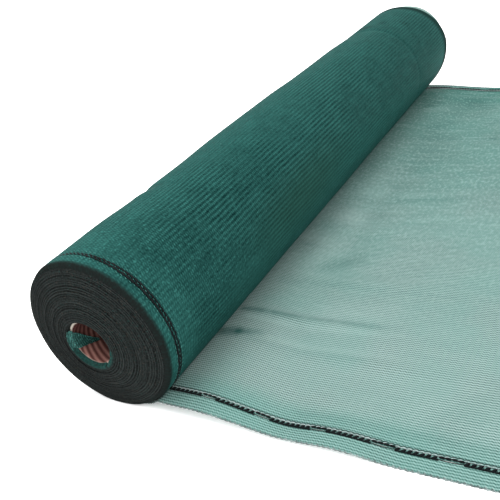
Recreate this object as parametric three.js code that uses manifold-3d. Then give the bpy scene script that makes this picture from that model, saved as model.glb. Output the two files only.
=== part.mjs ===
// A roll of knitted windbreak netting, lying on the floor with its loose end spread to one side.
// Millimetres. The roll lies along Y with its near end at -Y, the loose end runs out to +X, +Z is up,
// and the origin is the middle of the flat strip on which the roll rests.

import * as THREE from 'three';
import Module from 'manifold-3d';
import { mergeVertices } from 'three/addons/utils/BufferGeometryUtils.js';

const wasm = await Module();
wasm.setup();

// Driving dimensions of the roll
const NET_WIDTH = 1000;
const ROLL_RADIUS = 90.6;
const PRESSED_FLAT = 0.8;
const HOLE_RADIUS = 28.5;
const END_DRIFT = 12;
const DRIFT_CURVE = 1.2;
const RIM_ROUNDING = 5;

// Driving dimensions of the cardboard core
const CORE_BORE_RADIUS = 25.4;
const CORE_WALL = 2.8;
const CORE_RECESS = 5;

// Driving dimensions of the loose end
const NET_THICKNESS = 1.2;
const LOOSE_REACH = 437;
const ROLL_CLEARANCE = 0.4;
const SEAM_GAP = 0.3;
const NEAR_STRIP = 25;
const FAR_STRIP = 21.5;

// Buttonholes: the two lines of them lie at these distances in from the two long edges
const NEAR_LINE = 19.5;
const FAR_LINE = 16;
const BUTTONHOLE = { first: 107.7, pitch: 61, count: 6, length: 20.5, width: 5 };

// Fineness of the meshes
const ROUND_STEPS = 72;
const GIRTH_STEPS = 20;
const CORE_STEPS = 56;
const REACH_STEPS = 26;
const MAIN_STATION = 50;

// Girth of the wound roll: share of its length from the near end, and radius gained there
const GIRTH = [
  { along: 0.0, grow: 0.3 },
  { along: 0.09, grow: 0.8 },
  { along: 0.155, grow: 0.0 },
  { along: 0.25, grow: 0.0 },
  { along: 0.34, grow: 0.95 },
  { along: 0.5, grow: 0.65 },
  { along: 0.6, grow: -0.4 },
  { along: 0.74, grow: -0.6 },
  { along: 0.83, grow: -1.8 },
  { along: 1.0, grow: -1.8 },
];

// Slack places in the winding: a crease round the roll, deepest on one side (degrees from +X, upwards)
const DENTS = [
  { along: 0.182, halfSpan: 0.02, ring: 0.5, depth: 2.3, side: 135, halfSweep: 55 },
  { along: 0.83, halfSpan: 0.015, ring: 0.4, depth: 0.5, side: 80, halfSweep: 60 },
];

// Curl of the loose end beside the roll: height held up to the shoulder, then eased to the floor
const CURL = [
  { along: 0.0, crest: 15.5, shoulder: 85, landing: 235 },
  { along: 0.02, crest: 18, shoulder: 88, landing: 215 },
  { along: 0.1, crest: 16, shoulder: 70, landing: 185 },
  { along: 0.2, crest: 12, shoulder: 60, landing: 150 },
  { along: 0.5, crest: 11, shoulder: 55, landing: 140 },
  { along: 0.8, crest: 13, shoulder: 50, landing: 165 },
  { along: 1.0, crest: 10, shoulder: 20, landing: 200 },
];

// Broad lumps of the loose end: place, height, and half sizes (the second as a share of the width)
const LUMPS = [
  { reach: 248, along: 0.0, height: 5.3, halfReach: 70, halfAlong: 0.11 },
  { reach: 300, along: 0.31, height: 2.4, halfReach: 90, halfAlong: 0.07 },
  { reach: 210, along: 0.86, height: 4.0, halfReach: 75, halfAlong: 0.08 },
];

// Soft ridges that run out from the roll, across the loose end
const RIDGES = [
  { along: 0.128, height: 1.8, halfWidth: 17, from: 60, to: 400 },
  { along: 0.18, height: 3.4, halfWidth: 15, from: 40, to: 235 },
  { along: 0.27, height: 2.0, halfWidth: 22, from: 60, to: 330 },
  { along: 0.4, height: 2.6, halfWidth: 26, from: 50, to: 260 },
  { along: 0.56, height: 2.2, halfWidth: 24, from: 90, to: 380 },
  { along: 0.7, height: 2.4, halfWidth: 26, from: 60, to: 300 },
  { along: 0.93, height: 2.8, halfWidth: 22, from: 60, to: 290 },
];

// The far edge is drawn in towards the near one as it leaves the roll
const FAR_PULL = { amount: 23, from: 60, to: 260, startsAlong: 0.6 };

// Tongue of netting folded over the core's cut end and tucked into the bore.
// Radius from the core's axis, depth from the core's cut end, and the angles that it spans (degrees).
const TONGUE_THICKNESS = 1.2;
const TONGUE = [
  { radius: 27.6, depth: -4.3, from: 150, to: 204 },
  { radius: 27.6, depth: -2.4, from: 149, to: 203 },
  { radius: 27.2, depth: -1.45, from: 148, to: 202 },
  { radius: 26.3, depth: -1.05, from: 147, to: 201 },
  { radius: 25.2, depth: -0.98, from: 146, to: 200 },
  { radius: 24.5, depth: -0.4, from: 145, to: 199 },
  { radius: 24.35, depth: 1.0, from: 146, to: 199 },
  { radius: 24.35, depth: 6.0, from: 158, to: 201 },
  { radius: 24.35, depth: 12.0, from: 175, to: 205 },
  { radius: 24.35, depth: 19.0, from: 194, to: 211 },
  { radius: 24.35, depth: 27.0, from: 214, to: 220 },
];
const TONGUE_STEPS = 8;

// Values worked out from the above
const NEAR_END = -NET_WIDTH / 2;
const CORE_HEIGHT = ROLL_RADIUS - PRESSED_FLAT;
const CORE_START = NEAR_END - END_DRIFT + CORE_RECESS;
const FLOOR_START = Math.sqrt(ROLL_RADIUS ** 2 - (CORE_HEIGHT - NET_THICKNESS - ROLL_CLEARANCE) ** 2) + 0.5;

const radians = THREE.MathUtils.degToRad;
const smooth = THREE.MathUtils.smoothstep;

// Value of a table's column at a share of the width, eased between the rows
function columnAt(table, column, along) {
  const next = table.findIndex((row) => row.along >= along);
  if (next < 0) return table[table.length - 1][column];
  if (next === 0) return table[0][column];
  const [a, b] = [table[next - 1], table[next]];
  return THREE.MathUtils.lerp(a[column], b[column], smooth(along, a.along, b.along));
}

// A soft hump: one at the middle, zero from the half size outwards
function hump(distance, halfSize) {
  const share = Math.min(Math.abs(distance) / halfSize, 1);
  return Math.cos(share * Math.PI / 2) ** 2;
}

// Radius of the wound surface at a share of the length and an angle in degrees
function woundRadius(along, degrees) {
  let radius = ROLL_RADIUS + columnAt(GIRTH, 'grow', along);
  for (const dent of DENTS) {
    const turn = Math.abs(THREE.MathUtils.euclideanModulo(degrees - dent.side + 180, 360) - 180);
    const depth = dent.ring + dent.depth * hump(turn, dent.halfSweep);
    radius -= depth * hump(along - dent.along, dent.halfSpan);
  }
  return radius;
}

// Closed mesh geometry from points in rows of equal length and its triangles
function meshGeometry(rows, faces) {
  const positions = rows.flat().flatMap((point) => [point.x, point.y, point.z]);
  const geometry = new THREE.BufferGeometry();
  geometry.setAttribute('position', new THREE.Float32BufferAttribute(positions, 3));
  geometry.setIndex(faces);
  geometry.computeVertexNormals();
  return geometry;
}

// Solid ring: closed rings of points that follow each other round its section and meet again
function ringGeometry(rings) {
  const count = rings[0].length;
  const faces = [];
  for (let i = 0; i < rings.length; i++) {
    const here = i * count;
    const there = ((i + 1) % rings.length) * count;
    for (let j = 0; j < count; j++) {
      const k = (j + 1) % count;
      faces.push(here + j, there + j, there + k, here + j, there + k, here + k);
    }
  }
  return meshGeometry(rings, faces);
}

// Thin strip: each section runs along one face and back along the other, and both ends are filled in
function stripGeometry(sections) {
  const count = sections[0].length;
  const faces = [];
  for (let i = 0; i < sections.length - 1; i++) {
    for (let j = 0; j < count; j++) {
      const [a, b] = [i * count + j, i * count + (j + 1) % count];
      faces.push(a, b, b + count, a, b + count, a + count);
    }
  }
  const end = (sections.length - 1) * count;
  for (let j = 0; j < count / 2 - 1; j++) {
    const [a, b, c, d] = [j, j + 1, count - 2 - j, count - 1 - j];
    faces.push(a, c, b, a, d, c);
    faces.push(end + a, end + b, end + c, end + a, end + c, end + d);
  }
  return meshGeometry(sections, faces);
}

// One ring of the roll: share is 0 at the hole and 1 at the outside
function rollRing(share, along, y) {
  const ring = [];
  for (let i = 0; i < ROUND_STEPS; i++) {
    const degrees = -90 + (i + 0.5) * 360 / ROUND_STEPS;
    const outside = woundRadius(along, degrees);
    const radius = THREE.MathUtils.lerp(HOLE_RADIUS, outside, share);
    const lift = share * columnAt(GIRTH, 'grow', along);
    const z = CORE_HEIGHT + lift + radius * Math.sin(radians(degrees));
    ring.push(new THREE.Vector3(radius * Math.cos(radians(degrees)), y, Math.max(z, 0)));
  }
  return ring;
}

// Rings of one end from the rim's rounding in to the hole; side is -1 for the near end, 1 for the far one.
// The turns have drifted towards the near end, most at the middle, so it bulges and the far end is dished.
function endRings(side) {
  const along = side < 0 ? 0 : 1;
  const face = side * NET_WIDTH / 2;
  const span = ROLL_RADIUS - HOLE_RADIUS;
  const shares = [];
  for (const degrees of [0, 30, 60, 90]) {
    const inset = RIM_ROUNDING * (1 - Math.cos(radians(degrees)));
    shares.push({ share: 1 - inset / span, back: RIM_ROUNDING * (1 - Math.sin(radians(degrees))) });
  }
  for (const share of [0.7, 0.4, 0.15, 0]) shares.push({ share, back: 0 });
  return shares.map(({ share, back }) => {
    const drift = END_DRIFT * (1 - share ** DRIFT_CURVE);
    return rollRing(share, along, face - side * back - drift);
  });
}

// The wound netting: one solid, with the hole that the core fills
function woundNetting() {
  const outside = [];
  const start = NEAR_END + RIM_ROUNDING;
  const length = NET_WIDTH - 2 * RIM_ROUNDING;
  for (const dent of DENTS) {
    for (const step of [-1, -0.5, 0, 0.5, 1]) outside.push(dent.along + step * dent.halfSpan);
  }
  const dented = (along) => DENTS.some((dent) => Math.abs(along - dent.along) < dent.halfSpan * 1.5);
  for (let i = 1; i < GIRTH_STEPS; i++) {
    if (!dented(i / GIRTH_STEPS)) outside.push(i / GIRTH_STEPS);
  }
  outside.sort((a, b) => a - b);
  const middle = outside.map((along) => rollRing(1, along, start + along * length));
  return ringGeometry([...middle, ...endRings(1), ...endRings(-1).reverse()]);
}

// The spiral-wound cardboard core, a plain tube
function coreTube() {
  const [bore, outer] = [CORE_BORE_RADIUS, CORE_BORE_RADIUS + CORE_WALL];
  const corners = [[bore, 0], [outer, 0], [outer, NET_WIDTH], [bore, NET_WIDTH], [bore, 0]];
  const geometry = new THREE.LatheGeometry(corners.map(([r, y]) => new THREE.Vector2(r, y)), CORE_STEPS);
  geometry.translate(0, CORE_START, CORE_HEIGHT);
  return geometry;
}

// The tongue, a bent strip of even thickness that narrows to its tip
function tuckedTongue() {
  const sections = TONGUE.map((row, i) => {
    const before = TONGUE[Math.max(i - 1, 0)];
    const after = TONGUE[Math.min(i + 1, TONGUE.length - 1)];
    const run = new THREE.Vector2(after.radius - before.radius, after.depth - before.depth).normalize();
    const point = (share, side) => {
      const angle = radians(THREE.MathUtils.lerp(row.from, row.to, share));
      const radius = row.radius + side * run.y * TONGUE_THICKNESS / 2;
      const y = CORE_START + row.depth - side * run.x * TONGUE_THICKNESS / 2;
      return new THREE.Vector3(radius * Math.cos(angle), y, CORE_HEIGHT + radius * Math.sin(angle));
    };
    const shares = Array.from({ length: TONGUE_STEPS + 1 }, (_, j) => j / TONGUE_STEPS);
    const outer = shares.map((share) => point(share, 1));
    const inner = shares.map((share) => point(share, -1));
    return [...inner, ...outer.reverse()];
  });
  return stripGeometry(sections);
}

// Height of the roll's underside over the floor
function rollUnderside(reach, along) {
  const radius = ROLL_RADIUS + columnAt(GIRTH, 'grow', along);
  if (reach >= radius) return Infinity;
  return radius - PRESSED_FLAT - Math.sqrt(radius ** 2 - reach ** 2);
}

// Height of the loose end's underside over the floor
function looseHeight(reach, along) {
  const shoulder = columnAt(CURL, 'shoulder', along);
  const landing = columnAt(CURL, 'landing', along);
  let height = columnAt(CURL, 'crest', along) * (1 - smooth(reach, shoulder, landing));
  for (const lump of LUMPS) {
    const fade = hump(reach - lump.reach, lump.halfReach);
    height += lump.height * fade * hump(along - lump.along, lump.halfAlong);
  }
  for (const ridge of RIDGES) {
    const middle = (ridge.from + ridge.to) / 2;
    const fade = hump(reach - middle, (ridge.to - ridge.from) / 2);
    height += ridge.height * fade * hump((along - ridge.along) * NET_WIDTH, ridge.halfWidth);
  }
  const room = rollUnderside(reach, along) - ROLL_CLEARANCE - NET_THICKNESS;
  return Math.max(Math.min(height, room), 0);
}

// A point of the loose end; across is the distance from the near edge along the netting's width
function loosePoint(reach, across, above) {
  const along = across / NET_WIDTH;
  const share = smooth(along, FAR_PULL.startsAlong, 1);
  const pull = FAR_PULL.amount * smooth(reach, FAR_PULL.from, FAR_PULL.to) * share;
  return new THREE.Vector3(reach, NEAR_END + across - pull, looseHeight(reach, along) + above);
}

// Distances from the roll's axis at which the loose end is drawn, closer together near the roll
function reachStations() {
  const stations = [];
  for (let i = 0; i <= REACH_STEPS; i++) {
    const share = i / REACH_STEPS;
    stations.push(THREE.MathUtils.lerp(FLOOR_START, LOOSE_REACH, 0.35 * share + 0.65 * share ** 2));
  }
  return stations;
}

// A thin closed sheet over the given stations across the netting
function looseStrip(acrossStations) {
  const sections = reachStations().map((reach) => {
    const under = acrossStations.map((across) => loosePoint(reach, across, 0));
    const over = acrossStations.map((across) => loosePoint(reach, across, NET_THICKNESS));
    return [...under, ...over.reverse()];
  });
  return stripGeometry(sections);
}

// Stations across the main sheet: even steps, with more at each ridge
function mainStations() {
  const [start, end] = [NEAR_STRIP + SEAM_GAP, NET_WIDTH - FAR_STRIP - SEAM_GAP];
  const stations = [start, end];
  for (let across = start + MAIN_STATION; across < end - MAIN_STATION / 2; across += MAIN_STATION) {
    const offRidge = (ridge) => Math.abs(across - ridge.along * NET_WIDTH) > ridge.halfWidth * 1.3;
    const clear = RIDGES.every(offRidge);
    if (clear) stations.push(across);
  }
  for (const ridge of RIDGES) {
    for (const step of [-1, 0, 1]) stations.push(ridge.along * NET_WIDTH + step * ridge.halfWidth);
  }
  return stations.sort((a, b) => a - b);
}

// A solid of the boolean library from a closed mesh
function solidOf(geometry) {
  const bare = geometry.clone();
  bare.deleteAttribute('normal');
  bare.deleteAttribute('uv');
  const merged = mergeVertices(bare, 1e-4);
  const vertProperties = new Float32Array(merged.attributes.position.array);
  const triVerts = new Uint32Array(merged.index.array);
  return new wasm.Manifold(new wasm.Mesh({ numProp: 3, vertProperties, triVerts }));
}

// A mesh geometry from a solid of the boolean library
function geometryOf(solid) {
  const mesh = solid.getMesh();
  const geometry = new THREE.BufferGeometry();
  geometry.setAttribute('position', new THREE.Float32BufferAttribute(mesh.vertProperties, 3));
  geometry.setIndex([...mesh.triVerts]);
  geometry.computeVertexNormals();
  return geometry;
}

// Prism of one buttonhole, upright, with round ends
function buttonholePrism(reach, across) {
  const radius = BUTTONHOLE.width / 2;
  const straight = BUTTONHOLE.length / 2 - radius;
  const outline = new THREE.Shape();
  outline.moveTo(-straight, -radius);
  outline.lineTo(straight, -radius);
  outline.absarc(straight, 0, radius, -Math.PI / 2, Math.PI / 2, false);
  outline.lineTo(-straight, radius);
  outline.absarc(-straight, 0, radius, Math.PI / 2, 3 * Math.PI / 2, false);
  const prism = new THREE.ExtrudeGeometry(outline, { depth: 60, bevelEnabled: false, curveSegments: 4 });
  const before = loosePoint(reach - straight, across, 0);
  const after = loosePoint(reach + straight, across, 0);
  prism.rotateZ(Math.atan2(after.y - before.y, after.x - before.x));
  prism.translate(reach, (before.y + after.y) / 2, -20);
  return prism;
}

// A selvedge strip of the loose end with its line of buttonholes cut through
function selvedgeStrip(acrossStations, lineAcross) {
  let strip = solidOf(looseStrip(acrossStations));
  for (let i = 0; i < BUTTONHOLE.count; i++) {
    const reach = BUTTONHOLE.first + i * BUTTONHOLE.pitch;
    strip = strip.subtract(solidOf(buttonholePrism(reach, lineAcross)));
  }
  return geometryOf(strip);
}

// Each strip is drawn at even steps from its seam with the main sheet to its free edge
function nearSelvedge() {
  const across = (share) => share * NEAR_STRIP;
  return selvedgeStrip([0, 1 / 3, 2 / 3, 1].map(across), NEAR_LINE);
}

function farSelvedge() {
  const across = (share) => NET_WIDTH - (1 - share) * FAR_STRIP;
  return selvedgeStrip([0, 1 / 3, 2 / 3, 1].map(across), NET_WIDTH - FAR_LINE);
}

// Matt material of one colour
function matt(color, roughness) {
  return new THREE.MeshStandardMaterial({ color, roughness, metalness: 0 });
}

function named(name, geometry, material) {
  const mesh = new THREE.Mesh(geometry, material);
  mesh.name = name;
  return mesh;
}

// Knitted polyethylene tape is dark in the wound roll and sheerer as a single layer
const [WOUND_GREEN, SHEER_GREEN, TONGUE_GREEN, CARDBOARD] = [0x2d5f5a, 0x7fb0a4, 0x2f6b60, 0x6e4a42];

const group = new THREE.Group();
group.add(named('wound_netting', woundNetting(), matt(WOUND_GREEN, 0.7)));
group.add(named('core_tube', coreTube(), matt(CARDBOARD, 0.9)));
group.add(named('tucked_tongue', tuckedTongue(), matt(TONGUE_GREEN, 0.75)));
group.add(named('loose_net', looseStrip(mainStations()), matt(SHEER_GREEN, 0.75)));
group.add(named('near_selvedge', nearSelvedge(), matt(SHEER_GREEN, 0.75)));
group.add(named('far_selvedge', farSelvedge(), matt(SHEER_GREEN, 0.75)));

export default group;
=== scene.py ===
import math

import bmesh
import bpy
import numpy as np
from mathutils import Matrix, Vector


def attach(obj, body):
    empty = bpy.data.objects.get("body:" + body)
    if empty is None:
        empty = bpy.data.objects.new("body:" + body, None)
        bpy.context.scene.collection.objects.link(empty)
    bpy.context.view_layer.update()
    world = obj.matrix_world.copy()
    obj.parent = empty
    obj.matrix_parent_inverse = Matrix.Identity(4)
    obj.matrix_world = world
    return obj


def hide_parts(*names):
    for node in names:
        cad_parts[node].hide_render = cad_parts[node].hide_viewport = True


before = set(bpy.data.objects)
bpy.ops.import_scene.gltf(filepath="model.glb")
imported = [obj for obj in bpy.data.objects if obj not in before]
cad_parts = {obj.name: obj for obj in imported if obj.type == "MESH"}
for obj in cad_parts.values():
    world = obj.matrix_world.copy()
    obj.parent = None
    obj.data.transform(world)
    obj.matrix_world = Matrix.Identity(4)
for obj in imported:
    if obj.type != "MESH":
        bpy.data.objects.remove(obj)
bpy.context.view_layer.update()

# Lengths below are in millimetres, as in the part's source, and MM turns them into metres
MM = 0.001
rng = np.random.default_rng(7)


# Camera, fitted to the photograph

CAMERA_PLACE = (0.49922, -0.88161, 0.45782)
CAMERA_YAW = 0.6315
CAMERA_PITCH = 0.4794
CAMERA_ROLL = -0.2566
CAMERA_LENS = 48.99
CAMERA_SENSOR = 36
CAMERA_CLIP = (0.01, 100)


def make_camera():
    data = bpy.data.cameras.new("camera")
    data.lens = CAMERA_LENS
    data.sensor_width = CAMERA_SENSOR
    data.clip_start, data.clip_end = CAMERA_CLIP
    camera = bpy.data.objects.new("camera", data)
    bpy.context.collection.objects.link(camera)
    sin_yaw = math.sin(CAMERA_YAW)
    cos_yaw = math.cos(CAMERA_YAW)
    sin_pitch = math.sin(CAMERA_PITCH)
    cos_pitch = math.cos(CAMERA_PITCH)
    ahead = Vector((-sin_yaw * cos_pitch, cos_yaw * cos_pitch, -sin_pitch))
    level = Vector((cos_yaw, sin_yaw, 0))
    upright = level.cross(ahead)
    right = level * math.cos(CAMERA_ROLL) + upright * math.sin(CAMERA_ROLL)
    up = upright * math.cos(CAMERA_ROLL) - level * math.sin(CAMERA_ROLL)
    turn = Matrix((right, up, -ahead)).transposed()
    camera.matrix_world = Matrix.Translation(CAMERA_PLACE) @ turn.to_4x4()
    bpy.context.scene.camera = camera


make_camera()


# Sizes of the roll, as in the part's source

NET_WIDTH = 1000
ROLL_RADIUS = 90.6
PRESSED_FLAT = 0.8
LEAST_HEIGHT = 0.05
AXIS_HEIGHT = ROLL_RADIUS - PRESSED_FLAT
HOLE_RADIUS = 28.5
END_DRIFT = 12
DRIFT_CURVE = 1.2
CORE_BORE_RADIUS = 25.4
CORE_WALL = 2.8
CORE_START = -507
NEAR_END = -500

GIRTH_ALONG = (0.0, 0.09, 0.155, 0.25, 0.34, 0.5, 0.6, 0.74, 0.83, 1.0)
GIRTH_GROW = (0.3, 0.8, 0.0, 0.0, 0.95, 0.65, -0.4, -0.6, -1.8, -1.8)
DENTS = (
    dict(along=0.182, half_span=0.02, ring=0.5, depth=2.3, side=135, half_sweep=55),
    dict(along=0.83, half_span=0.015, ring=0.4, depth=0.5, side=80, half_sweep=60),
)

# The knit: one repeat along the netting, and the distance between its chains
REPEAT = 5.5
CHAIN = 3.15
REPEATS_IN_METRE = 1000 / REPEAT
CHAINS_IN_METRE = 1000 / CHAIN

# The loose end, as in the part's source
LOOSE_REACH = 437
ROLL_CLEARANCE = 0.4
SHEET_SOLID = 1.2
SHEET_MIDDLE = SHEET_SOLID / 2
CURL_ALONG = (0.0, 0.02, 0.1, 0.2, 0.5, 0.8, 1.0)
CURL_CREST = (15.5, 18, 16, 12, 11, 13, 10)
CURL_SHOULDER = (85, 88, 70, 60, 55, 50, 20)
CURL_LANDING = (235, 215, 185, 150, 140, 165, 200)
# Lumps: reach, share of the width, height, half size along the reach, half size as a share of the width
LUMPS = (
    (248, 0.0, 5.3, 70, 0.11),
    (300, 0.31, 2.4, 90, 0.07),
    (210, 0.86, 4.0, 75, 0.08),
)
# Ridges: share of the width, height, half width, and where along the reach each starts and ends
RIDGES = (
    (0.128, 1.8, 17, 60, 400),
    (0.18, 3.4, 15, 40, 235),
    (0.27, 2.0, 22, 60, 330),
    (0.4, 2.6, 26, 50, 260),
    (0.56, 2.2, 24, 90, 380),
    (0.7, 2.4, 26, 60, 300),
    (0.93, 2.8, 22, 60, 290),
)
FAR_PULL = dict(amount=23, start=60, end=260, starts_along=0.6)
# The near edge is drawn in where it comes out from under the roll, out to a reach and a width
EDGE_TUCK = dict(amount=7, start=20, end=64, width=26)
NEAR_STRIP = 25
FAR_STRIP = 21.5
NEAR_LINE = 19.5
FAR_LINE = 16
HOLE_FIRST = 107.7
HOLE_PITCH = 61
HOLE_COUNT = 6
HOLE_LENGTH = 20.5
HOLE_WIDTH = 0.6
# Height that the roll's underside leaves free beside the roll, where nothing is above the sheet
NO_ROOF = 1e6


# Shape functions, on arrays

def smooth(x, start, end):
    share = np.clip((x - start) / (end - start), 0, 1)
    return share * share * (3 - 2 * share)


def eased(along, places, values):
    """Value at a share of the width, eased between the table's rows as in the part's source."""
    along = np.clip(np.asarray(along, float), 0, 1)
    places = np.asarray(places, float)
    values = np.asarray(values, float)
    upper = np.clip(np.searchsorted(places, along), 1, len(places) - 1)
    lower = upper - 1
    share = smooth(along, places[lower], places[upper])
    return values[lower] + (values[upper] - values[lower]) * share


def hump(distance, half_size):
    share = np.minimum(np.abs(distance) / half_size, 1)
    return np.cos(share * np.pi / 2) ** 2


def wound_radius(along, degrees):
    radius = ROLL_RADIUS + eased(along, GIRTH_ALONG, GIRTH_GROW)
    for dent in DENTS:
        turn = np.abs((degrees - dent["side"] + 180) % 360 - 180)
        depth = dent["ring"] + dent["depth"] * hump(turn, dent["half_sweep"])
        radius = radius - depth * hump(along - dent["along"], dent["half_span"])
    return radius


def roll_point(radius, degrees, y, lift=0.0):
    """Points round the roll's axis, pressed flat where they would be under the floor."""
    angle = np.radians(degrees)
    x = radius * np.cos(angle)
    z = np.maximum(AXIS_HEIGHT + lift + radius * np.sin(angle), LEAST_HEIGHT)
    return np.stack(np.broadcast_arrays(x, y, z), axis=-1)


def roll_underside(reach, along):
    radius = ROLL_RADIUS + eased(along, GIRTH_ALONG, GIRTH_GROW)
    inside = np.sqrt(np.maximum(radius ** 2 - reach ** 2, 0))
    return np.where(reach < radius, radius - PRESSED_FLAT - inside, NO_ROOF)


def loose_height(reach, along):
    shoulder = eased(along, CURL_ALONG, CURL_SHOULDER)
    landing = eased(along, CURL_ALONG, CURL_LANDING)
    height = eased(along, CURL_ALONG, CURL_CREST) * (1 - smooth(reach, shoulder, landing))
    for place, share, rise, half_reach, half_along in LUMPS:
        height = height + rise * hump(reach - place, half_reach) * hump(along - share, half_along)
    for share, rise, half_width, start, end in RIDGES:
        fade = hump(reach - (start + end) / 2, (end - start) / 2)
        height = height + rise * fade * hump((along - share) * NET_WIDTH, half_width)
    room = roll_underside(reach, along) - ROLL_CLEARANCE - SHEET_SOLID
    return np.maximum(np.minimum(height, room), 0)


def loose_point(reach, across, above=SHEET_MIDDLE):
    """Points above the loose sheet's underside; across is measured from the near edge."""
    along = across / NET_WIDTH
    share = smooth(along, FAR_PULL["starts_along"], 1)
    pull = FAR_PULL["amount"] * smooth(reach, FAR_PULL["start"], FAR_PULL["end"]) * share
    free = smooth(reach, EDGE_TUCK["start"], EDGE_TUCK["end"])
    inner = smooth(across, 0, EDGE_TUCK["width"])
    pull = pull - EDGE_TUCK["amount"] * (1 - free) * (1 - inner)
    z = loose_height(reach, along) + above
    return np.stack(np.broadcast_arrays(reach, NEAR_END + across - pull, z), axis=-1)


# Making meshes

def new_object(name, points, faces):
    mesh = bpy.data.meshes.new(name)
    mesh.from_pydata((np.asarray(points) * MM).tolist(), [], faces)
    mesh.polygons.foreach_set("use_smooth", [True] * len(mesh.polygons))
    mesh.update()
    piece = bpy.data.objects.new(name, mesh)
    bpy.context.collection.objects.link(piece)
    return piece


def grid_faces(rows, columns, wrap_rows=False, wrap_columns=False):
    """Quads of a grid; the corners of each follow row, next row, next column."""
    down = np.arange(rows if wrap_rows else rows - 1)
    side = np.arange(columns if wrap_columns else columns - 1)
    i, j = np.meshgrid(down, side, indexing="ij")
    i_next = (i + 1) % rows
    j_next = (j + 1) % columns
    corners = (
        i * columns + j,
        i_next * columns + j,
        i_next * columns + j_next,
        i * columns + j_next,
    )
    return np.stack(corners, axis=-1).reshape(-1, 4)


def add_map(piece, name, values):
    """UV map from one pair of numbers for each vertex."""
    mesh = piece.data
    layer = mesh.uv_layers.new(name=name)
    corner = np.zeros(len(mesh.loops), int)
    mesh.loops.foreach_get("vertex_index", corner)
    layer.uv.foreach_set("vector", np.asarray(values, np.float32)[corner].ravel())


def add_number(piece, name, values):
    """A number for each vertex, which the material reads by name."""
    attribute = piece.data.attributes.new(name, "FLOAT", "POINT")
    attribute.data.foreach_set("value", np.asarray(values, np.float32).ravel())


class Strands:
    """Gathers short tubes into the mesh of one piece."""

    def __init__(self):
        self.points = []
        self.faces = []
        self.count = 0

    def add(self, line, radii, up=(0, 0, 1), sides=6, flat=1.0):
        """One tube along a line; flat squeezes it along the direction named up."""
        line = np.asarray(line, float)
        radii = np.broadcast_to(np.asarray(radii, float), len(line))
        ahead = np.gradient(line, axis=0)
        ahead /= np.linalg.norm(ahead, axis=1, keepdims=True)
        up = np.broadcast_to(np.asarray(up, float), line.shape)
        side = np.cross(ahead, up)
        side /= np.linalg.norm(side, axis=1, keepdims=True)
        top = np.cross(side, ahead)
        angles = np.arange(sides) * 2 * np.pi / sides
        ring = (
            side[:, None, :] * np.cos(angles)[None, :, None]
            + top[:, None, :] * np.sin(angles)[None, :, None] * flat
        )
        points = line[:, None, :] + ring * radii[:, None, None]
        base = self.count
        self.points.append(points.reshape(-1, 3))
        self.faces.extend((grid_faces(len(line), sides, wrap_columns=True) + base).tolist())
        last = base + (len(line) - 1) * sides
        self.faces.append([base + k for k in range(sides)])
        self.faces.append([last + k for k in reversed(range(sides))])
        self.count += len(line) * sides

    def make(self, name):
        return new_object(name, np.concatenate(self.points), self.faces)


# Materials

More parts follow.
